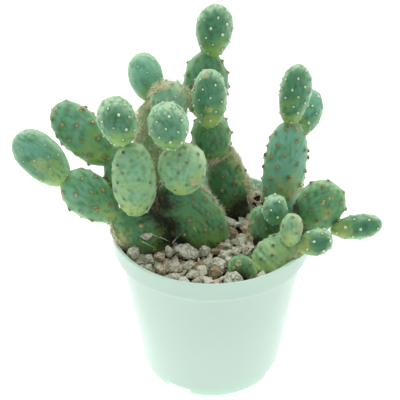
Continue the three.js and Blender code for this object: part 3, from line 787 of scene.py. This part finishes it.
def pad_skin_mesh(pad, angle, turn, seed):
    """The pad's skin: its egg, swollen under each areole, a little uneven, and painted for its material."""
    mesh = BALL.copy()
    smooth = pad.surface(BALL_ANGLE, BALL_TURN)
    set_points(mesh, smooth)
    if normals_of(mesh)[0] @ (smooth[0] - np.array(pad.middle)) < 0:
        mesh.flip_normals()
    normals = normals_of(mesh)

    areoles = pad.surface(angle, turn)
    apart = np.linalg.norm(smooth[:, None, :] - areoles[None, :, :], axis=2).min(1) / MM
    felt = FELT_WIDTH[pad.skin] / 2
    foot = np.exp(-((apart / (0.3 * SPACING[pad.skin])) ** 2))
    swelling = 0.75 * np.exp(-((apart / (1.5 * felt)) ** 2)) + 0.25 * foot - 0.1
    dimple = np.exp(-((apart / felt) ** 2))
    lumps = ripple(smooth, 9 * MM, seed)
    creases = ripple(smooth, 3.2 * MM, seed + 50)
    wrinkles = ripple(smooth, 1.4 * MM, seed + 90)
    local = (smooth - np.array(pad.base)) @ np.array([pad.across, pad.axis, pad.face]).T
    folds = ripple(local * (0.35, 1.6, 0.35), 1.5 * MM, seed + 70)
    lumpy, folded = (0.32, 0.17) if pad.skin == "pale" else (0.2, 0.05)
    height = pad.mound * swelling - 0.18 * dimple
    height += lumpy * lumps + 0.07 * creases
    height += (folded + pad.shrunk) * folds

    covers = {kind: np.zeros(len(smooth)) for kind in ("cork", "sallow", "dirt_and_shade")}
    covers["sallow"] += 2 * pad.shrunk * np.clip(-folds, 0, 1)
    for kind, place, side, radius in pad.marks:
        away = np.linalg.norm(smooth - pad.spot(place, side), axis=1) / MM
        # A dirt mark, soil with painted shade, fades out smoothly; sallow flesh and cork have ragged edges.
        if kind == "dirt_and_shade":
            cover = fade(away - radius * 0.15 * creases, 0.2 * radius, 1.7 * radius)
        else:
            cover = fade(away - radius * (0.3 * creases + 0.25 * wrinkles), 0.4 * radius, 1.3 * radius)
        covers[kind] = np.maximum(covers[kind], cover)
    height += 0.16 * covers["cork"] * (0.3 + wrinkles)
    set_points(mesh, on_the_rim(smooth + normals * (height * MM)[:, None]))

    share = (1 - np.cos(BALL_ANGLE)) / 2
    towards_edge = fade(np.abs(normals @ np.array(pad.face)) + 0.07 * creases, 0.1, 1.0)
    paint(mesh, "lift", share)
    # Paler towards the edge, away from the broad faces: the down there, and also a painted rim light.
    paint(mesh, "rim", DOWN_AND_RIM_LIGHT_SHARE[pad.skin] * towards_edge)
    paint(mesh, "streak", 0.7 * ripple(local * (1, 0.45, 1), 1.1 * MM, seed + 30, waves=14))
    paint(mesh, "wax", pad.wax * np.clip(0.5 + 0.35 * share + 0.3 * normals[:, 2] + 0.2 * lumps, 0, 1))
    paint(mesh, "halo", (0.15 if pad.bare else 0.45) * fade(apart - felt + 0.3 * wrinkles, 0, 0.9))
    # Painted shade that grows with age: darker low down and away from the edge, where the broad faces are.
    paint(mesh, "age_and_shade", np.clip(pad.age_and_shade * (1 - 0.4 * share) * (1 - 0.5 * towards_edge), 0, 1))
    for kind, cover in covers.items():
        paint(mesh, kind, cover)
    return mesh


# ------------------------------------------------------------------ areoles


def bristle(bm, length, width, lean, heading, root, material):
    """One stiff hair: a sharp three-sided spike that leans out from its root. Gives its corners."""
    made = bmesh.ops.create_cone(
        bm, cap_ends=True, segments=3, radius1=width / 2, radius2=width * 0.04, depth=length
    )["verts"]
    bmesh.ops.translate(bm, verts=made, vec=(0, 0, length / 2))
    tilt = Matrix.Rotation(heading, 4, "Z") @ Matrix.Rotation(lean, 4, "X")
    bmesh.ops.transform(bm, matrix=Matrix.Translation(root) @ tilt, verts=made)
    for face in {face for vertex in made for face in vertex.link_faces}:
        face.material_index = material
    return made


def tuft(seed, felt_width, felt_height, hairs, length, width, spread):
    """One areole, pointing along Z: a cushion of felt with a spray of bristles. Sizes are in millimetres."""
    felt_width, felt_height, length, width = (size * MM for size in (felt_width, felt_height, length, width))
    roll = random.Random(seed)
    bm = bmesh.new()
    for vertex in bmesh.ops.create_icosphere(bm, subdivisions=2, radius=1)["verts"]:
        fluff = 1 + roll.uniform(-0.12, 0.12)
        x, y, z = vertex.co
        vertex.co = Vector((x * felt_width / 2, y * felt_width / 2, z * felt_height)) * fluff
    for _ in range(hairs):
        heading = roll.uniform(0, 2 * math.pi)
        lean = spread * math.sqrt(roll.random())
        out = 0.32 * felt_width * lean / spread
        root = Vector((math.sin(heading) * out, -math.cos(heading) * out, felt_height * 0.2))
        bristle(bm, length * roll.uniform(0.6, 1.15), width, lean, heading, root, 1)
    return mesh_from(bm, "tuft")


# Five areoles of each kind: the seed of the first, the width and height of the felt, the number, length and
# width of the bristles, and how far they spread, in radians.
TUFTS = {
    kind: [tuft(first + number, *shape) for number in range(5)]
    for kind, first, *shape in (
        ("young", 0, 1.2, 0.4, 7, 0.7, 0.1, 0.9),
        ("mature", 20, 1.75, 0.32, 14, 1.2, 0.15, 0.9),
        ("edge", 20, 1.5, 0.55, 12, 1.0, 0.16, 0.8),
        ("pale", 40, 0.95, 0.2, 6, 0.6, 0.1, 0.9),
        ("corky", 60, 1.1, 0.35, 20, 2.6, 0.18, 1.2),
        # Bark areoles are dark: old bark's, and painted shade in crevices and on the shaded pads.
        ("bark", 80, 1.1, 0.3, 14, 1.6, 0.14, 1.1),
    )
}
TUFT_MATERIALS = [WOOL, FELT, DARK_FELT, RUST_BRISTLE, STRAW_BRISTLE]
# By the kind of areole, the pairs of felt and bristles that one is drawn from, as numbers in TUFT_MATERIALS.
TUFT_HAIR = {
    "young": [(0, 4)],
    "mature": [(1, 3), (1, 3), (1, 1)],
    "edge": [(2, 3), (1, 3)],
    "pale": [(2, 3), (2, 3), (1, 3)],
    "corky": [(4, 4), (4, 4), (4, 4), (1, 4)],
    "bark": [(2, 3)],
}


def set_tuft(bm, kind, place, out, axis, size, roll):
    """One areole, at a place on the skin and square to it, a little longer along the pad than across."""
    along = (axis - out * axis.dot(out)).normalized()
    turned = Matrix((along.cross(out), along, out)).transposed().to_4x4()
    mesh = roll.choice(TUFTS[kind])
    shape = Matrix.Diagonal((size * roll.uniform(0.75, 0.95), size * roll.uniform(0.95, 1.3), size, 1))
    faces = add_copy(bm, mesh, Matrix.Translation(place) @ turned @ shape)
    hair = roll.choice(TUFT_HAIR[kind])
    for face in faces:
        face.material_index = hair[face.material_index]


def areole_mesh(pad, angle, turn, others, seed):
    """All of a pad's areoles, tipped towards its tip, and its crowded fringes."""
    roll = random.Random(seed)
    bm = bmesh.new()
    lift = (pad.mound * 0.7 - 0.12) * MM
    for place, out in zip(pad.surface(angle, turn), pad.outward(angle, turn), strict=True):
        out = Vector(out)
        up = (out + pad.axis * 0.3).normalized()
        size = roll.uniform(0.6, 1.15) * (0.5 if pad.bare else 1)
        kind = pad.skin
        if kind == "mature" and abs(out.dot(pad.face)) < 0.3:
            kind = "edge"
        # Areoles inside a dirt mark are dark ones, as part of its painted shade.
        for mark, along, side, radius in pad.marks:
            if mark == "dirt_and_shade" and np.linalg.norm(pad.spot(along, side) - place) < radius * MM:
                kind = "bark"
        set_tuft(bm, kind, Vector(place) + out * lift, up, pad.axis, size, roll)
    for kind, low_share, high_share, from_turn, to_turn, count in pad.fringes:
        for _ in range(count):
            at = np.array([math.acos(1 - 2 * roll.uniform(low_share, high_share))])
            side = np.array([math.radians(roll.uniform(from_turn, to_turn))])
            place, out = pad.surface(at, side), Vector(pad.outward(at, side)[0])
            if place[0][2] > GRAVEL_TOP and all(other.depth(place)[0] > 0.3 * MM for other in others):
                set_tuft(bm, kind, Vector(place[0]), out, pad.axis, roll.uniform(0.6, 1.3), roll)
    return mesh_from(bm, pad.name + "_areoles")


def build_pads():
    pads = [Pad(name, **look) for name, look in PADS.items()]
    for number, pad in enumerate(pads):
        others = [other for other in pads if other is not pad]
        angle, turn = areole_places(pad, number * 0.9, others)
        skin = piece_of(pad.name + "_skin", pad_skin_mesh(pad, angle, turn, number), [SKINS[pad.skin]])
        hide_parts(pad.name)
        mesh = areole_mesh(pad, angle, turn, others, number)
        areoles = piece_of(pad.name + "_areoles", mesh, TUFT_MATERIALS)
    return pads


# ------------------------------------------------------------------ stones, gravel and soil


def pared(points, draw, cuts, least, most):
    """Points of a round lump, flattened on several sides as a broken stone is."""
    middle = (points.max(0) + points.min(0)) / 2
    for _ in range(cuts):
        way = draw.normal(size=3)
        way /= np.linalg.norm(way)
        out = (points - middle) @ way
        over = np.maximum(out - draw.uniform(least, most) * out.max(), 0)
        points = points - np.outer(over, way)
    return points


def chip(seed, subdivisions, cuts=9):
    """A broken stone about 1 across, with roughened faces."""
    draw = np.random.default_rng(seed)
    mesh = ball_mesh(subdivisions)
    points = pared(points_of(mesh) * draw.uniform(0.65, 1.3, 3), draw, cuts, 0.35, 0.8)
    points *= (1 + 0.06 * ripple(points, 0.35, seed))[:, None]
    set_points(mesh, points / (points.max(0) - points.min(0)).max())
    return mesh


def pitted_stone(node_name, seed):
    """One large stone: its CAD lump, worn round at the edges, cracked and eaten into by open cells."""
    lump = in_scene("lump", mesh_from(merged_copy(node_name), "lump"))
    fill = lump.modifiers.new("fill", "REMESH")
    fill.mode, fill.voxel_size = "VOXEL", 0.22 * MM
    soften = lump.modifiers.new("soften", "SMOOTH")
    soften.factor, soften.iterations = 0.5, 4
    mesh = apply_modifiers(lump).data
    bpy.data.objects.remove(lump)

    draw = np.random.default_rng(seed)
    set_points(mesh, pared(points_of(mesh), draw, 9, 0.55, 0.88))
    points, normals = points_of(mesh), normals_of(mesh)
    centres = points[draw.choice(len(points), max(16, len(points) // 90), replace=False)]
    radii = draw.uniform(0.2, 0.6, len(centres)) * MM
    near = np.linalg.norm(points[:, None, :] - centres[None, :, :], axis=2) / radii
    hollow = fade(near, 0.2, 1.0)
    depth = (hollow * radii * 0.75).max(1)
    cracks = np.exp(-((ripple(points, 2.4 * MM, seed + 3) / 0.12) ** 2))
    rough = 0.22 * ripple(points, 1.3 * MM, seed) + 0.09 * ripple(points, 0.5 * MM, seed + 7) - 0.3 * cracks
    set_points(mesh, points + normals * (rough * MM - depth)[:, None])
    # The hollows and cracks are marked to be darkened with painted shade.
    paint(mesh, "pit_shade", np.maximum(hollow.max(1), cracks) * 0.45)
    return mesh


def build_stones():
    names = sorted(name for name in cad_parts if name.startswith("stone_"))
    for seed, name in enumerate(names):
        tone = name.split("_")[1]
        stone = piece_of(name + "_pitted", pitted_stone(name, seed), [PUMICE[tone]])
        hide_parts(name)


def gravel_bed():
    """Soil crumbs and dust under the loose stones: a disc with an uneven top, down to the soil."""
    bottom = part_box("pumice_gravel")[0].z
    top = GRAVEL_TOP - 1.6 * MM
    rings, clear = 60, 0.2 * MM
    inner_radius = (POT["band_radius"] - POT["wall"]) * MM - clear
    outline = [(inner_radius * i / rings, top) for i in range(rings + 1)]
    outline.append((inner_radius, (POT_BAND + 0.7) * MM))
    outline.append(((POT["body_top_radius"] - POT["wall"]) * MM - clear, (POT_SHOULDER + 0.4) * MM))
    outline += [((pot_radius(bottom / MM) - POT["wall"]) * MM - clear, bottom), (0, bottom)]
    mesh = mesh_from(turned_solid(outline, 170), "bed")
    points = points_of(mesh)
    loose = points[:, 2] > top - 0.1 * MM
    crumbs = 0.45 * ripple(points, 1.6 * MM, 3) + 0.7 * ripple(points, 6 * MM, 4)
    crumbs += 0.2 * ripple(points, 0.8 * MM, 5)
    points[loose, 2] += crumbs[loose] * MM
    set_points(mesh, points)
    return mesh


def scatter(pads, taken, seed, count, sizes, spread, closeness):
    """Places for loose stones: inside the pot, clear of the pads and of the stones that are there already.

    Sizes and the spread of their heights are in millimetres. The closer they may lie, the smaller closeness is.
    """
    roll = random.Random(seed)
    found = []
    for _ in range(count * 12):
        if len(found) == count:
            break
        size = roll.uniform(*sizes) * MM
        radius = (RIM_RADIUS - 2.3 * MM - size / 2) * math.sqrt(roll.random())
        turn = roll.uniform(0, 2 * math.pi)
        place = POT_AXIS + Vector((radius * math.cos(turn), radius * math.sin(turn), GRAVEL_TOP))
        place.z += (roll.uniform(*spread)) * MM - size * 0.1
        spot = np.array([place])
        across = (place - POT_AXIS) / MM
        if any(pad.depth(spot)[0] < size * 0.3 for pad in pads):
            continue
        if any(math.hypot(across.x - x, across.y - y) < reach for x, y, reach in BARE_SOIL_AND_SHADE):
            continue
        if any((place - other).length < (size / 2 + reach) * closeness for other, reach in taken):
            continue
        taken.append((place, size / 2))
        found.append((place, size, roll.choice(range(6)), roll.uniform(0, ANY_TURN)))
    return found


def stone_heap(bm, chips, places, seed, tones):
    """Copies of a few stone shapes at the places, turned at random, in tones as often as their weights say."""
    roll = random.Random(seed)
    squash = Matrix.Diagonal((1, 1, 0.8, 1))
    for place, size, kind, heading in places:
        angle = roll.uniform(0, ANY_TURN)
        lean = Matrix.Rotation(angle, 4, Vector((roll.random(), roll.random(), roll.random() + 0.1)))
        turned = Matrix.Rotation(heading, 4, "Z") @ lean @ Matrix.Scale(size, 4)
        faces = add_copy(bm, chips[kind], Matrix.Translation(place) @ squash @ turned)
        tone = roll.choices(range(len(tones)), weights=tones)[0]
        for face in faces:
            face.material_index = 1 + tone


def build_gravel(pads):
    bm = bmesh.new()
    bm.from_mesh(gravel_bed())
    fine = [chip(seed, 2) for seed in range(6)]
    coarse = [chip(seed + 10, 3, 12) for seed in range(6)]
    large = [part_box(name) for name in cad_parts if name.startswith("stone_")]
    taken = [((low + high) / 2, (high - low).length / 3.9) for low, high in large]
    # The largest stones first: their shapes, seed, number, sizes, heights, closeness and weights of tones.
    for chips, seed, count, sizes, spread, closeness, tones in (
        (coarse, 1, 110, (5.4, 7.6), (0.0, 1.0), 0.76, (6, 3, 1)),
        (coarse, 3, 260, (3.4, 5.2), (-0.2, 1.0), 0.68, (6, 3, 1.2)),
        (fine, 5, 800, (1.8, 3.2), (-1.0, 0.4), 0.62, (5, 3, 2)),
    ):
        places = scatter(pads, taken, seed, count, sizes, spread, closeness)
        stone_heap(bm, chips, places, seed + 1, tones)
    mesh = mesh_from(bm, "gravel")
    materials = [SOIL, PUMICE["grey"], PUMICE["beige"], PUMICE["brown"]]
    layer = piece_of("gravel_layer", mesh, materials, smooth=False)
    paint(mesh, "pit_shade", np.zeros(len(mesh.vertices)))
    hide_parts("pumice_gravel")
    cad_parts["soil"].data.materials.clear()
    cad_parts["soil"].data.materials.append(SOIL)


def build_litter():
    """Dropped spines and scraps that lie about on the soil, and a few long pale spines caught on the pads."""
    roll = random.Random(11)
    bm = bmesh.new()
    for x, y, spread, count in LITTER:
        for _ in range(count):
            root = Vector((roll.gauss(x, spread / 2), roll.gauss(y, spread / 2), 0)) * MM
            if root.length > RIM_RADIUS - 6 * MM:
                continue
            root += POT_AXIS + Vector((0, 0, GRAVEL_TOP + roll.uniform(-0.8, 1.2) * MM))
            length = roll.uniform(1.2, 3.5) * MM
            lean, heading = math.radians(roll.uniform(55, 92)), roll.uniform(0, 2 * math.pi)
            width = roll.uniform(0.15, 0.5) * MM
            bristle(bm, length, width, lean, heading, root, roll.choice((0, 0, 1, 2)))
    for ends in LONG_SPINES:
        start, end = (Vector(point) * MM + POT_AXIS for point in ends)
        way = end - start
        made = bristle(bm, way.length, 0.34 * MM, 0, 0, Vector(), 3)
        turned = way.to_track_quat("Z", "Y").to_matrix().to_4x4()
        bmesh.ops.transform(bm, matrix=Matrix.Translation(start) @ turned, verts=made)
    materials = [RUST_BRISTLE, SCRAP, STRAW_BRISTLE, WOOL]
    litter = piece_of("fallen_spines", mesh_from(bm, "fallen_spines"), materials)


# ------------------------------------------------------------------ dried pad


def build_dried_pad():
    """A lace of woody strands round a shrunken dark core, in the space of its CAD egg."""
    pad = Pad("dried_pad", taper=0.05)
    placed = Matrix((pad.across, pad.face, pad.axis)).transposed().to_4x4()
    placed = Matrix.Translation(pad.middle) @ placed
    size = Vector((pad.width, pad.thick, pad.length)) / 2
    roll = random.Random(5)

    net = bmesh.new()
    bmesh.ops.create_icosphere(net, subdivisions=3, radius=1)
    for vertex in net.verts:
        vertex.co += Vector([roll.uniform(-0.06, 0.06) for _ in range(3)])
    opened = [edge for edge in net.edges if roll.random() < 0.38]
    bmesh.ops.dissolve_edges(net, edges=opened, use_verts=True, use_face_split=False)
    bmesh.ops.transform(net, matrix=placed @ Matrix.Diagonal((*size * 0.94, 1)), verts=net.verts)
    lace = piece_of("dried_pad_net", mesh_from(net, "net"), [dried_fibre()])
    strands = lace.modifiers.new("strands", "WIREFRAME")
    strands.thickness, strands.use_even_offset = 0.45 * MM, False
    rounding = lace.modifiers.new("rounding", "SUBSURF")
    rounding.levels = rounding.render_levels = 1
    apply_modifiers(lace)

    rot = bmesh.new()
    matrix = placed @ Matrix.Diagonal((*size * 0.66, 1))
    bmesh.ops.create_icosphere(rot, subdivisions=3, radius=1, matrix=matrix)
    for vertex in rot.verts:
        vertex.co += (vertex.co - pad.middle) * roll.uniform(-0.12, 0.12)
    core = piece_of("dried_pad_core", mesh_from(rot, "core"), [SOIL])
    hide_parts("dried_pad")


# ------------------------------------------------------------------ pot


def pot_outline():
    """The pot's wall and floor as [radius, height] in millimetres.

    It runs from the middle of the underside round the outside and the rim to the middle of the floor's top.
    """
    height, lip_radius = POT_HEIGHT / MM, RIM_RADIUS / MM
    floor_top = POT["foot_height"] + POT["floor"]
    return [
        (0, POT["foot_height"]),
        (POT["base_radius"] - POT["foot_wall"], POT["foot_height"]),
        (POT["base_radius"] - POT["foot_wall"], 0),
        (POT["base_radius"] - 0.5, 0),
        (POT["base_radius"], 0.5),
        (pot_radius(POT_SHOULDER / 2), POT_SHOULDER / 2),
        (POT["body_top_radius"], POT_SHOULDER),
        (POT["band_radius"] - 0.5, POT_BAND - 0.4),
        (POT["band_radius"], POT_BAND),
        (lip_radius, height - 0.5),
        (lip_radius - 0.25, height - 0.1),
        (lip_radius - 0.6, height),
        (lip_radius - POT["lip"] + 0.2, height),
        (lip_radius - POT["lip"], height - 0.5),
        (POT["band_radius"] - POT["wall"], POT_BAND + 0.6),
        (POT["body_top_radius"] - POT["wall"], POT_SHOULDER + 0.4),
        (pot_radius(floor_top) - POT["wall"], floor_top),
        (0, floor_top),
    ]


def build_pot():
    """The moulding, with its drain holes and the water notches in its foot cut out and its edges rounded."""
    shell = turned_solid([(radius * MM, height * MM) for radius, height in pot_outline()], 192)
    pot = piece_of("pot_moulding", mesh_from(shell, "pot_moulding"), [PLASTIC])

    cut = bmesh.new()
    floor_middle = (POT["foot_height"] + POT["floor"] / 2) * MM
    holes = [(DRAIN["middle_radius"], Vector((0, 0, floor_middle)))]
    for number in range(NOTCH["count"]):
        angle = math.radians(NOTCH["first_angle"] + 360 / NOTCH["count"] * number)
        way = Vector((math.cos(angle), math.sin(angle), 0))
        holes.append((DRAIN["radius"], way * DRAIN["ring"] * MM + Vector((0, 0, floor_middle))))
        size = Vector((POT["foot_wall"] * 4, NOTCH["width"], NOTCH["height"] * 2)) * MM
        place = way * (POT["base_radius"] - POT["foot_wall"] / 2) * MM
        shape = Matrix.Rotation(angle, 4, "Z") @ Matrix.Diagonal((*size, 1))
        bmesh.ops.create_cube(cut, size=1, matrix=Matrix.Translation(POT_AXIS + place) @ shape)
    for radius, place in holes:
        bmesh.ops.create_cone(
            cut, cap_ends=True, segments=32, radius1=radius * MM, radius2=radius * MM,
            depth=POT["floor"] * 3 * MM, matrix=Matrix.Translation(POT_AXIS + place),
        )
    cutter = in_scene("cutter", mesh_from(cut, "cutter"))
    carve = pot.modifiers.new("openings", "BOOLEAN")
    carve.operation, carve.object, carve.solver = "DIFFERENCE", cutter, "EXACT"
    apply_modifiers(pot)
    bpy.data.objects.remove(cutter)
    rounding = pot.modifiers.new("rounding", "BEVEL")
    rounding.width, rounding.segments = 0.25 * MM, 3
    rounding.limit_method, rounding.angle_limit = "ANGLE", math.radians(28)
    shading = pot.modifiers.new("shading", "WEIGHTED_NORMAL")
    shading.keep_sharp = False
    apply_modifiers(pot)
    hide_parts("pot")


# ------------------------------------------------------------------ studio


def studio():
    """White paper lit from below round the pot, a white tent and a soft lamp overhead.

    The tent is dimmer in the direction that the pads face, and towards its top.
    """
    bm = bmesh.new()
    bmesh.ops.create_grid(bm, x_segments=1, y_segments=1, size=6)
    floor = in_scene("floor", mesh_from(bm, "floor"))
    white, tree, place = empty_material("white_paper")
    far = add_node(tree, "VectorMath", {0: place}, operation="LENGTH").outputs["Value"]
    lit = add_node(
        tree, "MapRange", {"Value": far, "From Min": 0.04, "From Max": 0.14, "To Min": 0.9, "To Max": 0.36}
    ).outputs["Result"]
    paper = add_node(
        tree,
        "BsdfPrincipled",
        {
            "Base Color": linear("#F8F8F8"), "Roughness": 0.9,
            "Emission Color": linear("#FFFFFF"), "Emission Strength": lit,
        },
    )
    add_node(tree, "OutputMaterial", {"Surface": paper.outputs[0]})
    floor.data.materials.append(white)

    world = bpy.data.worlds.new("tent")
    bpy.context.scene.world = world
    world.use_nodes = True
    tree = world.node_tree
    tree.nodes.clear()
    way = add_node(tree, "TexCoord").outputs["Generated"]
    opening = add_node(tree, "VectorMath", {0: way, 1: FRONT}, operation="DOT_PRODUCT").outputs["Value"]
    glow = add_node(
        tree,
        "MapRange",
        {"Value": opening, "From Min": 0.2, "From Max": 0.95, "To Min": 1.1, "To Max": 0.48},
        interpolation_type="SMOOTHSTEP",
    ).outputs["Result"]
    up = add_node(tree, "SeparateXYZ", {0: way}).outputs["Z"]
    roof = add_node(
        tree, "MapRange", {"Value": up, "From Min": 0.2, "From Max": 0.9, "To Min": 1, "To Max": 0.6}
    ).outputs["Result"]
    light = add_node(tree, "Math", {0: glow, 1: roof}, operation="MULTIPLY").outputs[0]
    tent = add_node(tree, "Background", {"Color": linear("#FFFFFF"), "Strength": light})
    add_node(tree, "OutputWorld", {"Surface": tent.outputs[0]})

    lamp = bpy.data.lights.new("overhead", "AREA")
    lamp.shape, lamp.size, lamp.energy = "DISK", 0.8, 6
    softbox = in_scene("overhead", lamp)
    softbox.location = (-0.1, 0.2, 1.1)
    plant = Vector((0, 0, 0.08))
    softbox.rotation_euler = (Vector(softbox.location) - plant).to_track_quat("Z", "Y").to_euler()
    bpy.context.scene.view_settings.view_transform = "Standard"


def photo_camera():
    data = bpy.data.cameras.new("photo_camera")
    data.sensor_width, data.lens = 36, LENS
    data.clip_start, data.clip_end = 0.01, 20
    camera = in_scene("photo_camera", data)
    turned = (
        Matrix.Rotation(CAMERA_LEFT, 4, "Z")
        @ Matrix.Rotation(math.pi / 2 - CAMERA_DOWN, 4, "X")
        @ Matrix.Rotation(CAMERA_ROLL, 4, "Z")
    )
    camera.matrix_world = Matrix.Translation(CAMERA_PLACE) @ turned
    bpy.context.scene.camera = camera


photo_camera()
all_pads = build_pads()
build_stones()
build_gravel(all_pads)
build_litter()
build_dried_pad()
build_pot()
studio()
